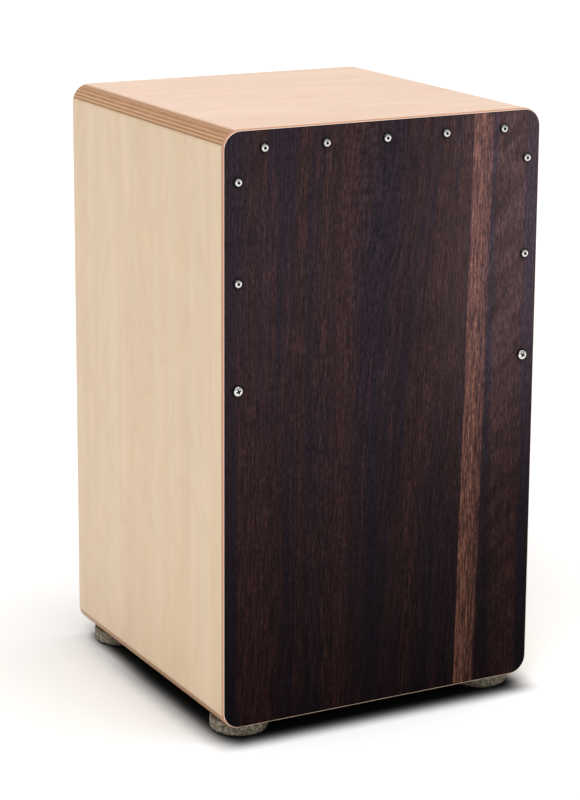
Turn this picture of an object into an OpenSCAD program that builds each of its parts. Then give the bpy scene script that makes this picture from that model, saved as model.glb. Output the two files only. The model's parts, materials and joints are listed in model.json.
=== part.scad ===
// Cajon with a removable snare rail: a plywood box drum with a thin playing plate on its front.
// +Z is up, -Y is the playing side, and the origin is on the floor under the middle of the drum.

/* [Box] */
// Width of the box across the seat
box_w = 300; // [280:1:360]
// Depth of the box from the face of the playing plate to the rear edge
box_d = 300; // [280:1:360]
// Height of the box without its feet
box_h = 505; // [480:1:560]
// Radius of the four long edges that run from front to rear
corner_r = 16; // [14:0.5:22]
// Thickness of the seat board and the base board
board_t = 12; // [12:0.5:15]
// Thickness of the two side walls
side_t = 9; // [9:0.5:9.5]
// Thickness of the rear wall
rear_t = 6; // [4:0.5:9]
// How far the rear wall sits in from the rear edge of the box
rear_inset = 3; // [1:0.5:8]

/* [Playing plate] */
// Thickness of the playing plate
plate_t = 3; // [2.6:0.1:4]
// Radius of the rounding round the face of the playing plate
plate_edge_r = 2.2; // [1:0.1:2.4]
// Distance of the top row of screws from the top of the box
top_row_drop = 15.7; // [15.5:0.1:18]
// Spacing of the screws in the top row
top_row_pitch = 56.6; // [50:0.1:60]
// Distance of the side screws from the outside of the box
side_row_inset = 13.2; // [13:0.1:15]
// Distance of the three screws on each side from the top of the box
side_row_drops = [42, 124.5, 213.5];

/* [Screws] */
// Head diameter of the socket screws that adjust the plate
socket_head_d = 7.6; // [7:0.1:8]
// Head height of the socket screws
socket_head_h = 2.2; // [1.8:0.1:2.4]
// Width across the flats of the hexagon socket
socket_flats = 2.5; // [2:0.1:3]
// Head diameter of the two cross recess wood screws
cross_head_d = 9; // [8:0.1:10]
// Head height of the cross recess wood screws
cross_head_h = 2.6; // [2.4:0.1:3]

/* [Battens] */
// Width of the front battens across the plate
batten_w = 15; // [14.5:0.5:18]
// Depth of the front battens behind the plate
batten_d = 20; // [19:0.5:25]
// Side of the square rear battens
rear_batten = 12; // [8:0.5:15]

/* [Sound hole] */
// Diameter of the sound hole in the rear wall
hole_d = 120; // [90:1:140]
// Height of the middle of the sound hole above the base of the box
hole_rise = 335; // [300:1:360]

/* [Snare] */
// Height of the middle of the snare rail above the base of the box
rail_rise = 412; // [400:1:420]
// Height of the snare rail
rail_h = 30; // [30:1:36]
// Depth of the snare rail, front to rear
rail_d = 15; // [12:0.5:20]
// Number of wire strands in one snare
strand_count = 20; // [8:1:22]
// Outside diameter of one coiled strand
strand_d = 2.4; // [1.6:0.1:2.6]
// Spacing of the strands
strand_pitch = 3; // [2.8:0.1:3.2]
// Length of one strand
strand_l = 120; // [80:1:140]
// Air gap between the strands and the back of the playing plate
strand_gap = 0.6; // [0.5:0.1:2]

/* [Feet] */
// Diameter of a foot
foot_d = 50; // [40:1:60]
// Height of a foot
foot_h = 12; // [11:0.5:15]
// Distance of the middle of a foot from the outside of the box
foot_inset = 30; // [28:1:40]
// Rounding of the lower edge of a foot
foot_edge_r = 4; // [2:0.5:5]

/* [Hidden] */
$fn = 64;
SIDES = [-1, 1];
SIDE_NAMES = ["left", "right"];
TOP_ROW = [-2, -1, 0, 1, 2];
ADJUSTED_ROWS = [0, 1];
FIXED_ROW = 2;
SOCKET_SCREW_NAMES = concat(
    [for (k = TOP_ROW) str("top_screw_", k + 3)],
    [for (name = SIDE_NAMES, row = ADJUSTED_ROWS) str(name, "_screw_", row + 1)]
);

// Faces of the box; the domed heads stand out in front of the plate and count in the depth
front_y = -(box_d - cross_head_h) / 2;
rear_y = front_y + box_d;
plate_back_y = front_y + plate_t;
base_z = foot_h;
top_z = base_z + box_h;
floor_z = base_z + board_t;
ceiling_z = top_z - board_t;
inner_x = box_w / 2 - side_t;
rear_wall_y = rear_y - rear_inset - rear_t;
seam_r = 0.4;
rear_edge_r = 1.5;
hole_edge = 1;
hole_z = base_z + hole_rise;
batten_ease = 2;
// How far a cutter runs past the face that it cuts
overcut = 1;

// Screws of the playing plate, each place as its x and z
side_row_x = box_w / 2 - side_row_inset;
SOCKET_SCREWS = concat(
    [for (k = TOP_ROW) [k * top_row_pitch, top_z - top_row_drop]],
    [for (side = SIDES, row = ADJUSTED_ROWS) [side * side_row_x, top_z - side_row_drops[row]]]
);
CROSS_SCREWS = [for (side = SIDES) [side * side_row_x, top_z - side_row_drops[FIXED_ROW]]];
shank_d = 3.9;
insert_bore_d = 4;
plate_hole_d = 4.4;
insert_d = 6;
insert_l = 12;
tip_clearance = 2;
shank_l = plate_t + insert_l + tip_clearance;
head_gap = 0.1;
socket_depth = 1.2;
wood_shank_d = 3.6;
wood_shank_l = 20;
// Proportions of a wood screw: its tip to its shank, and its cross recess to its head
tip_l_share = 1.2;
tip_d_share = 0.125;
cross_arm_share = 0.5;
cross_web_share = 0.1;
cross_depth_share = 0.5;

// Snare rail, its brackets and its strands
rail_z = base_z + rail_rise;
felt_t = 1.5;
rail_gap = 0.4;
bracket_w = 20;
bracket_web = 6;
bracket_cheek = 10;
bracket_r = 3;
bracket_y = plate_back_y + batten_d;
bracket_head_d = 6;
bracket_head_h = 2;
bracket_shank_d = 3;
rail_front_y = bracket_y + bracket_web + felt_t + rail_gap;
rail_lead = 8;
rail_edge_r = 3;
slot_h = rail_h + 2 * (felt_t + rail_gap);
bracket_d = bracket_web + felt_t + rail_gap + rail_d + rail_lead;
bracket_h = slot_h + 2 * bracket_cheek;
rail_end_gap = 1;
spacer_end_gap = 3;
rail_l = 2 * (inner_x - rail_end_gap);
spacer_l = 2 * (inner_x - bracket_w - spacer_end_gap);
snare_x = 60;
snare_plate_t = 1.2;
snare_plate_margin = 1.5;
snare_row_w = (strand_count - 1) * strand_pitch;
snare_plate_w = snare_row_w + strand_d + 2 * snare_plate_margin;
snare_plate_h = 18;
strand_lap = 8;
strand_y = plate_back_y + strand_gap + strand_d / 2;
snare_plate_y = strand_y + strand_d / 2;
spacer_front_y = snare_plate_y + snare_plate_t;
strand_top_z = rail_z - rail_h / 2 + rail_edge_r + strand_lap;
tail_plate_h = 6;
snare_head_d = 5.5;
snare_head_h = 1.8;
snare_shank_d = 2.6;
snare_shank_l = 12;
snare_screw_x = 22;
snare_screw_z = strand_top_z + (snare_plate_h - strand_lap) / 2;

// Feet
foot_x = box_w / 2 - foot_inset;
foot_front_y = front_y + foot_inset;
foot_rear_y = rear_y - foot_inset;
foot_top_r = 0.6;
foot_pocket_d = 22;
foot_pocket_h = 7;
foot_screw_d = 4.5;
foot_screw_l = 15;
foot_screw_head_d = 9;
foot_screw_head_h = 3;
washer_d = 18;
washer_t = 1.4;
foot_seat_z = foot_pocket_h - washer_t;

// Colours
BIRCH = "#dcc09c";
SEAT_BIRCH = "#f0d2b8";
DARK_WOOD = "#2c2226";
BATTEN_WOOD = "#cfa878";
STEEL = "#c9c9c6";
BRASS = "#c3a252";
CORK_RUBBER = "#7b7d68";
FELT = "#3b3c40";

// The waste outside a quarter round, to be cut from a corner that sits at the origin
module corner_waste(r) {
    if (r > 0)
        difference() {
            translate([-overcut, -overcut])
                square(r + overcut);
            translate([r, r])
                circle(r = r);
        }
}

// Half of a slab's cross-section, from its middle to its rim, with both corners of the rim rounded
module half_section(reach, depth, near_r, far_r) {
    difference() {
        square([reach, depth]);
        translate([reach, 0])
            rotate(90)
                corner_waste(near_r);
        translate([reach, depth])
            rotate(180)
                corner_waste(far_r);
    }
}

module full_section(span, depth, near_r, far_r) {
    half_section(span / 2, depth, near_r, far_r);
    mirror([1, 0])
        half_section(span / 2, depth, near_r, far_r);
}

// Upright slab with the box's round corners: its near face is at y and its far face at y + depth
module rounded_slab(y, depth, near_r, far_r) {
    straight_w = box_w - 2 * corner_r;
    straight_h = box_h - 2 * corner_r;
    translate([0, y, base_z + box_h / 2]) {
        translate([0, 0, -straight_h / 2])
            linear_extrude(straight_h)
                full_section(box_w, depth, near_r, far_r);
        translate([-straight_w / 2, 0, 0])
            rotate([0, 90, 0])
                linear_extrude(straight_w)
                    full_section(box_h, depth, near_r, far_r);
        for (flip_x = [0, 1], flip_z = [0, 1])
            mirror([flip_x, 0, 0])
                mirror([0, 0, flip_z])
                    translate([straight_w / 2, 0, -straight_h / 2])
                        rotate([-90, 0, 0])
                            rotate_extrude(angle = 90)
                                half_section(corner_r, depth, near_r, far_r);
    }
}

module rounded_rect(size, r) {
    difference() {
        square(size);
        corner_waste(r);
        translate([size.x, 0])
            rotate(90)
                corner_waste(r);
        translate(size)
            rotate(180)
                corner_waste(r);
        translate([0, size.y])
            rotate(-90)
                corner_waste(r);
    }
}

module block(from, to) {
    translate(from)
        cube(to - from);
}

// Cutter for a round hole right through a thickness that starts at z = 0
module through_bore(t, d) {
    translate([0, 0, -overcut])
        cylinder(h = t + 2 * overcut, d = d);
}

// Turns +Z to point into the box, at a place given by its x and z on the face of the plate
module at_plate(place) {
    translate([place.x, front_y, place.y])
        rotate([-90, 0, 0])
            children();
}

// Turns +Z to point along +X
module along_x(place) {
    translate(place)
        rotate([0, 90, 0])
            children();
}

module at_feet() {
    for (x = SIDES, y = [foot_front_y, foot_rear_y])
        translate([x * foot_x, y, 0])
            children();
}

module on_side(side) {
    if (side < 0)
        mirror([1, 0, 0])
            children();
    else
        children();
}

// Domed screw head that stands out along -Z, with a short upright rim
module domed_head(d, h) {
    rim = 0.4;
    dome = h - rim;
    dome_r = (dome * dome + d * d / 4) / (2 * dome);
    mirror([0, 0, 1])
        intersection() {
            cylinder(h = h, d = d);
            translate([0, 0, h - dome_r])
                sphere(r = dome_r);
        }
}

// Plain shank with a blunt tip, which runs up along +Z
module wood_shank(d, l) {
    tip_l = tip_l_share * d;
    cylinder(h = l - tip_l, d = d);
    translate([0, 0, l - tip_l])
        cylinder(h = tip_l, d1 = d, d2 = tip_d_share * d);
}

module cross_recess(head_d, head_h) {
    arm = cross_arm_share * head_d;
    web = cross_web_share * head_d;
    depth = cross_depth_share * head_h;
    for (turn = [0, 90])
        rotate(turn)
            translate([-arm / 2, -web / 2, -head_h - overcut])
                cube([arm, web, depth + overcut]);
}

// Pan head wood screw: its head rests on z = 0 and its shank runs up along +Z
module wood_screw(head_d, head_h, d, l) {
    difference() {
        domed_head(head_d, head_h);
        cross_recess(head_d, head_h);
    }
    wood_shank(d, l);
}

// Body of the box before it is parted into its boards
module body_shell() {
    rounded_slab(plate_back_y, box_d - plate_t, 0, rear_edge_r);
}

module seat_board() {
    color(SEAT_BIRCH)
        intersection() {
            body_shell();
            block([-box_w, -box_d, ceiling_z], [box_w, box_d, top_z + overcut]);
        }
}

module base_board() {
    color(BIRCH)
        difference() {
            intersection() {
                body_shell();
                block([-box_w, -box_d, base_z - overcut], [box_w, box_d, floor_z]);
            }
            at_feet()
                translate([0, 0, foot_seat_z])
                    wood_shank(foot_screw_d, foot_screw_l);
        }
}

module side_wall(side) {
    color(BIRCH)
        on_side(side)
            difference() {
                intersection() {
                    body_shell();
                    block([inner_x, -box_d, floor_z], [box_w, box_d, ceiling_z]);
                }
                bracket_screw_pair();
            }
}

module rear_wall() {
    color(BIRCH)
        difference() {
            block([-inner_x, rear_wall_y, floor_z], [inner_x, rear_wall_y + rear_t, ceiling_z]);
            translate([0, rear_wall_y, hole_z])
                rotate([-90, 0, 0]) {
                    through_bore(rear_t, hole_d);
                    translate([0, 0, rear_t - hole_edge])
                        cylinder(h = 2 * hole_edge, d1 = hole_d, d2 = hole_d + 4 * hole_edge);
                }
        }
}

module playing_plate() {
    color(DARK_WOOD)
        difference() {
            rounded_slab(front_y, plate_t, plate_edge_r, seam_r);
            for (place = SOCKET_SCREWS)
                at_plate(place)
                    through_bore(plate_t, plate_hole_d);
            for (place = CROSS_SCREWS)
                at_plate(place)
                    through_bore(plate_t, wood_shank_d);
        }
}

// Straight bar along +Z whose inner edge, at x = w and y = d, is eased
module batten(l, w, d) {
    linear_extrude(l)
        polygon([[0, 0], [w, 0], [w, d - batten_ease], [w - batten_ease, d], [0, d]]);
}

module cross_batten(w, d) {
    translate([-inner_x, 0, 0])
        rotate([0, 90, 0])
            batten(2 * inner_x, w, d);
}

module upright_batten(side, w, d) {
    on_side(-side)
        translate([-inner_x, 0, floor_z + w])
            batten(ceiling_z - floor_z - 2 * w, w, d);
}

module insert_bores() {
    for (place = SOCKET_SCREWS)
        at_plate(place) {
            translate([0, 0, plate_t - overcut])
                cylinder(h = insert_l + overcut, d = insert_d);
            translate([0, 0, plate_t])
                cylinder(h = insert_l + 2 * tip_clearance, d = plate_hole_d);
        }
}

module cross_screw_pilots() {
    for (place = CROSS_SCREWS)
        at_plate(place)
            wood_shank(wood_shank_d, wood_shank_l);
}

module front_top_batten() {
    color(BATTEN_WOOD)
        difference() {
            translate([0, plate_back_y, ceiling_z])
                cross_batten(batten_w, batten_d);
            insert_bores();
        }
}

module front_bottom_batten() {
    color(BATTEN_WOOD)
        translate([0, plate_back_y, floor_z])
            mirror([0, 0, 1])
                cross_batten(batten_w, batten_d);
}

module front_side_batten(side) {
    color(BATTEN_WOOD)
        difference() {
            translate([0, plate_back_y, 0])
                upright_batten(side, batten_w, batten_d);
            insert_bores();
            cross_screw_pilots();
        }
}

module rear_top_batten() {
    color(BATTEN_WOOD)
        translate([0, rear_wall_y, ceiling_z])
            mirror([0, 1, 0])
                cross_batten(rear_batten, rear_batten);
}

module rear_bottom_batten() {
    color(BATTEN_WOOD)
        translate([0, rear_wall_y, floor_z])
            mirror([0, 1, 0])
                mirror([0, 0, 1])
                    cross_batten(rear_batten, rear_batten);
}

module rear_side_batten(side) {
    color(BATTEN_WOOD)
        translate([0, rear_wall_y, 0])
            mirror([0, 1, 0])
                upright_batten(side, rear_batten, rear_batten);
}

// Block with a slot that is open to the rear, for one end of the snare rail
module rail_bracket(side) {
    color(BATTEN_WOOD)
        on_side(side)
            difference() {
                along_x([inner_x - bracket_w, bracket_y, rail_z])
                    linear_extrude(bracket_w)
                        difference() {
                            translate([-bracket_h / 2, 0])
                                rounded_rect([bracket_h, bracket_d], bracket_r);
                            translate([-slot_h / 2, bracket_web])
                                square([slot_h, bracket_d]);
                        }
                bracket_screw_pair();
            }
}

module bracket_felt(side) {
    color(FELT)
        on_side(side)
            along_x([inner_x - bracket_w, bracket_y, rail_z])
                linear_extrude(bracket_w)
                    difference() {
                        translate([-slot_h / 2, bracket_web])
                            square([slot_h, bracket_d - bracket_web]);
                        translate([-slot_h / 2 + felt_t, bracket_web + felt_t])
                            square([slot_h - 2 * felt_t, bracket_d]);
                    }
}

// The two screws that hold the right bracket, one in each cheek of its slot
module bracket_screw_pair() {
    for (z = SIDES)
        along_x([
            inner_x - bracket_w,
            bracket_y + bracket_d / 2,
            rail_z + z * (slot_h + bracket_cheek) / 2
        ])
            wood_screw(bracket_head_d, bracket_head_h, bracket_shank_d, bracket_w + side_t / 2);
}

module bracket_screws() {
    color(STEEL)
        for (side = SIDES)
            on_side(side)
                bracket_screw_pair();
}

module threaded_inserts() {
    color(BRASS)
        for (place = SOCKET_SCREWS)
            at_plate(place)
                translate([0, 0, plate_t])
                    difference() {
                        cylinder(h = insert_l, d = insert_d);
                        through_bore(insert_l, insert_bore_d);
                    }
}

// Machine screw with a domed head and a hexagon socket
module socket_screw(place) {
    color(STEEL)
        at_plate(place)
            translate([0, 0, -head_gap])
                difference() {
                    union() {
                        domed_head(socket_head_d, socket_head_h);
                        cylinder(h = shank_l, d = shank_d);
                    }
                    translate([0, 0, -socket_head_h - overcut])
                        cylinder(h = socket_depth + overcut, d = socket_flats / cos(30), $fn = 6);
                }
}

module cross_recess_screws() {
    color(STEEL)
        for (place = CROSS_SCREWS)
            at_plate(place)
                wood_screw(cross_head_d, cross_head_h, wood_shank_d, wood_shank_l);
}

module foot(side, y) {
    color(CORK_RUBBER)
        translate([side * foot_x, y, 0])
            rotate_extrude()
                difference() {
                    half_section(foot_d / 2, foot_h, foot_edge_r, foot_top_r);
                    square([foot_pocket_d / 2, foot_pocket_h]);
                    square([foot_screw_d / 2, foot_h]);
                }
}

module foot_washers() {
    color(STEEL)
        at_feet()
            translate([0, 0, foot_seat_z])
                difference() {
                    cylinder(h = washer_t, d = washer_d);
                    through_bore(washer_t, foot_screw_d);
                }
}

module foot_screws() {
    color(STEEL)
        at_feet()
            translate([0, 0, foot_seat_z])
                wood_screw(foot_screw_head_d, foot_screw_head_h, foot_screw_d, foot_screw_l);
}

module snare_rail() {
    color(BATTEN_WOOD)
        along_x([-rail_l / 2, rail_front_y, rail_z])
            linear_extrude(rail_l)
                translate([-rail_h / 2, 0])
                    rounded_rect([rail_h, rail_d], rail_edge_r);
}

module snare_spacer() {
    color(BATTEN_WOOD)
        difference() {
            block(
                [-spacer_l / 2, spacer_front_y, rail_z - rail_h / 2 + rail_edge_r],
                [spacer_l / 2, rail_front_y, rail_z + rail_h / 2 - rail_edge_r]
            );
            snare_plate_screws();
        }
}

module snare_plate(side) {
    color(STEEL)
        difference() {
            block(
                [side * snare_x - snare_plate_w / 2, snare_plate_y, strand_top_z - strand_lap],
                [side * snare_x + snare_plate_w / 2, spacer_front_y, strand_top_z - strand_lap + snare_plate_h]
            );
            snare_plate_screws();
        }
}

module snare_strands(side) {
    first_x = side * snare_x - snare_row_w / 2;
    color(STEEL)
        for (i = [0:strand_count - 1])
            translate([first_x + i * strand_pitch, strand_y, strand_top_z - strand_l])
                cylinder(h = strand_l, d = strand_d, $fn = 24);
}

module tail_plate(side) {
    color(STEEL)
        translate([side * snare_x - snare_plate_w / 2, snare_plate_y, strand_top_z - strand_l])
            cube([snare_plate_w, snare_plate_t, tail_plate_h]);
}

module snare_plate_screws() {
    color(STEEL)
        for (side = SIDES, x = SIDES)
            translate([side * snare_x + x * snare_screw_x, snare_plate_y, snare_screw_z])
                rotate([-90, 0, 0])
                    wood_screw(snare_head_d, snare_head_h, snare_shank_d, snare_shank_l);
}

seat_board();
base_board();
rear_wall();
playing_plate();
front_top_batten();
front_bottom_batten();
rear_top_batten();
rear_bottom_batten();
bracket_screws();
threaded_inserts();
cross_recess_screws();
foot_washers();
foot_screws();
snare_rail();
snare_spacer();
snare_plate_screws();
for (i = [0, 1]) {
    side = SIDES[i];
    name = SIDE_NAMES[i];
    side_wall(side);
    front_side_batten(side);
    rear_side_batten(side);
    rail_bracket(side);
    bracket_felt(side);
    foot(side, foot_front_y);
    foot(side, foot_rear_y);
    snare_plate(side);
    snare_strands(side);
    tail_plate(side);
}
for (i = [0:len(SOCKET_SCREWS) - 1])
    socket_screw(SOCKET_SCREWS[i]);
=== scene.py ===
import json
import math

import bmesh
import bpy
from mathutils import Matrix, Vector, noise


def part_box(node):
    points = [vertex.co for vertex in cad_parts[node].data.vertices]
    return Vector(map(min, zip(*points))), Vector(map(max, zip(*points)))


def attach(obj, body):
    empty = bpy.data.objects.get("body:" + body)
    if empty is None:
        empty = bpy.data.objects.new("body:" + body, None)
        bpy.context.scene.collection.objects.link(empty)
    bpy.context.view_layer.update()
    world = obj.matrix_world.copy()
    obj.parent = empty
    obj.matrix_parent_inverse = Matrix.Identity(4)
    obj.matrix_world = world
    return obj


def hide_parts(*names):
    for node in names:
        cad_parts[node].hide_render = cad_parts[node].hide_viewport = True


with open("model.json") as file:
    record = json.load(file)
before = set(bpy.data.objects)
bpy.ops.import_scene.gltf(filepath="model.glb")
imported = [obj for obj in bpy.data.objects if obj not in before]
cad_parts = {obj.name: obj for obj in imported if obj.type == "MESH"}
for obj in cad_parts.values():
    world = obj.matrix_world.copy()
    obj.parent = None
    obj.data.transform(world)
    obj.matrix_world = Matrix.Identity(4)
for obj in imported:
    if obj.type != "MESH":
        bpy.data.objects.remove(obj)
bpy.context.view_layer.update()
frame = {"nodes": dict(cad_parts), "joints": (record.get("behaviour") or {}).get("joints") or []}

MM = 0.001
X, Y, Z = 0, 1, 2
SIDES = ("left", "right")
SOCKET_SCREWS = [j["child"][: -len("_body")] for j in frame["joints"] if j["name"].endswith("_back_out")]

# Sizes that the CAD boxes don't give
PLIES = {"seat_board": 9, "base_board": 9, "left_side_wall": 7, "right_side_wall": 7, "rear_wall": 5}
# Screws
SOCKET_SCREW_POINTS = 36
SOCKET_SCREW_TURN = 0.65
CROSS_SCREW_POINTS = 64
CROSS_SCREW_TURNS = (0.35, 1.0)
HEAD_GAP = 0.1 * MM
HEAD_RIM = 0.12 * MM
UNDERSIDE_INSET = 0.06 * MM
DOME_STEPS = 12
CROWN_SHARE = 0.68
CROWN_DROP = 0.16
SHANK_R = 1.95 * MM
THREAD_DEPTH = 0.34 * MM
THREAD_PITCH = 0.7 * MM
THREAD_STEPS = 5
SOCKET_FLATS = 2.5 * MM
SOCKET_DEPTH = 1.2 * MM
SOCKET_MOUTH_R = 1.6 * MM
SOCKET_ROUNDING = 0.08 * MM
DRILL_POINT_R = 0.1 * MM
DRILL_POINT_L = 0.25 * MM
WOOD_SHANK_R = 1.8 * MM
WOOD_TIP_R = 0.2 * MM
WOOD_TIP_L = 4 * MM
CROSS_ARM_SHARE = 0.6
CROSS_WEB_SHARE = 0.17
# Snares and felt
WIRE_R = 0.24 * MM
COIL_R = 1.2 * MM
COIL_PITCH = 1.5 * MM
COIL_STEPS = 10
STRANDS = 20
STRAND_TURN = 2.1
WIRE_SECTION = [(math.cos(math.tau / 5 * k), math.sin(math.tau / 5 * k)) for k in range(5)]
FELT_T = 1.5 * MM
FELT_BEND_R = 1.2 * MM
FELT_SOFT_EDGE = 0.06 * MM
FELT_FUZZ = 0.08 * MM
# Feet
FOOT_POINTS = 168
FOOT_STEP = 0.9 * MM
FOOT_EDGE_R = 4 * MM
FOOT_TOP_R = 0.6 * MM
POCKET_R = 11 * MM
POCKET_H = 7 * MM
POCKET_FLOOR_CHAMFER = 0.4 * MM
POCKET_MOUTH_CHAMFER = 0.5 * MM
FOOT_BORE_R = 2.25 * MM
GRANULE_LUMP = 0.22 * MM
LUMPS_START = 3 * MM
SMOOTH_TOP = 1.5 * MM
# Bands of the playing plate's veneer: where each starts and ends, from the middle line
FIGURED_MIDDLE = (-10 * MM, 60 * MM)
CURLY_BAND = (100 * MM, 137 * MM)
DARK_BAND = (-66 * MM, -52 * MM)
BROWN_BAND = (-46 * MM, -31 * MM)
THIN_LINE = (-116.5 * MM, -115 * MM)
SIDE_BANDS = (108 * MM, 137 * MM)
# Places over which a change in the veneer's colour happens, from the middle line
EDGE_DARKENS = (136 * MM, 141 * MM)
STRIPE_START = (79 * MM, 79.7 * MM)
STRIPE_DIMS = (89.5 * MM, 92.5 * MM)
STRIPE_END = (97 * MM, 100.5 * MM)
STRIPE_LEAN = 10 * MM
# Layers seen at the plate's rounded rim, by their depth below its face
RIM_DARK = (0.005 * MM, 0.06 * MM)
VENEER_END = (0.24 * MM, 0.28 * MM)
CREAM_END = (0.4 * MM, 0.52 * MM)
CORE_END = (2.7 * MM, 2.85 * MM)
# Camera and studio
CAMERA_PLACE = (-1.0222, -1.8885, 0.8228)
CAMERA_YAW_DEG = 28.204
CAMERA_PITCH_DEG = 12.795
CAMERA_ROLL_DEG = -0.339
CAMERA_LENS_MM = 112.24
CAMERA_SHIFT_Y = -0.125
CAMERA_REACH = 100
SKY_STRENGTH = 0.47
FLOOR_HALF = 60.0
CONTACT_REACH = 130 * MM


def screen(red, green, blue):
    """Linear colour of a screen colour given from 0 to 255."""
    return tuple(((v / 255 + 0.055) / 1.055) ** 2.4 for v in (red, green, blue))


# Colours
# Plywood
SIDE_TONE = screen(221, 195, 163)
SEAT_TONE = screen(239, 208, 185)
WARM_STREAK = (0.93, 0.87, 0.8)
FIGURE_LINE = (0.88, 0.76, 0.66)
BROWN_FLECK = screen(190, 146, 106)
CORE_DARK = screen(182, 136, 100)
CORE_LIGHT = screen(208, 164, 126)
END_GRAIN = screen(176, 128, 84)
GLUE_LINE = screen(120, 78, 44)
# Playing plate
PLATE_BLUE_BLACK = screen(15, 9, 17)
PLATE_DARK = screen(24, 11, 14)
PLATE_BROWN = screen(47, 25, 22)
PLATE_STRIPE = screen(110, 72, 57)
PLATE_STRIPE_DARK = screen(74, 45, 40)
# Tones of the painted sheen laid over the plate's upper part
PLATE_BLUE_PAINTED_SHEEN = screen(41, 34, 39)
PLATE_BROWN_PAINTED_SHEEN = screen(44, 35, 36)
PLATE_CREAM = screen(244, 226, 208)
PLATE_CORE = screen(198, 148, 122)
PLATE_BACK = screen(226, 190, 152)
# Beech
BEECH_LIGHT = screen(226, 186, 142)
BEECH_DARK = screen(206, 160, 116)
BEECH_FLECK = screen(150, 102, 68)
BEECH_END = screen(176, 124, 84)
# Metal
STEEL_BRIGHT = screen(238, 236, 232)
STEEL_SMUDGED = screen(206, 203, 198)
# Grime and painted shade in the screws' recesses
STEEL_SHADE_AND_GRIME = screen(22, 20, 19)
# Painted shade on the screw heads next to the plate
STEEL_PAINTED_SHADE_NEAR_PLATE = screen(30, 28, 28)
WIRE_BRIGHT = screen(214, 214, 212)
WIRE_WARM = screen(190, 182, 168)
SHEET_BRIGHT = screen(200, 200, 200)
SHEET_SMUDGED = screen(176, 174, 170)
BRASS_BRIGHT = screen(214, 178, 96)
BRASS_TARNISHED = screen(160, 120, 62)
# Feet, felt and floor
CORK_OLIVE = screen(136, 128, 106)
CORK_GREY = screen(176, 170, 152)
CORK_CREAM = screen(216, 206, 182)
CORK_BROWN = screen(142, 116, 88)
CORK_BLACK = screen(44, 45, 40)
FELT_DARK = screen(44, 45, 49)
FELT_LIGHT = screen(98, 99, 106)
FLOOR_WHITE = screen(252, 252, 252)
# Painted shadow on the floor
FLOOR_PAINTED_SHADOW = screen(30, 30, 30)


# Materials


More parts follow.
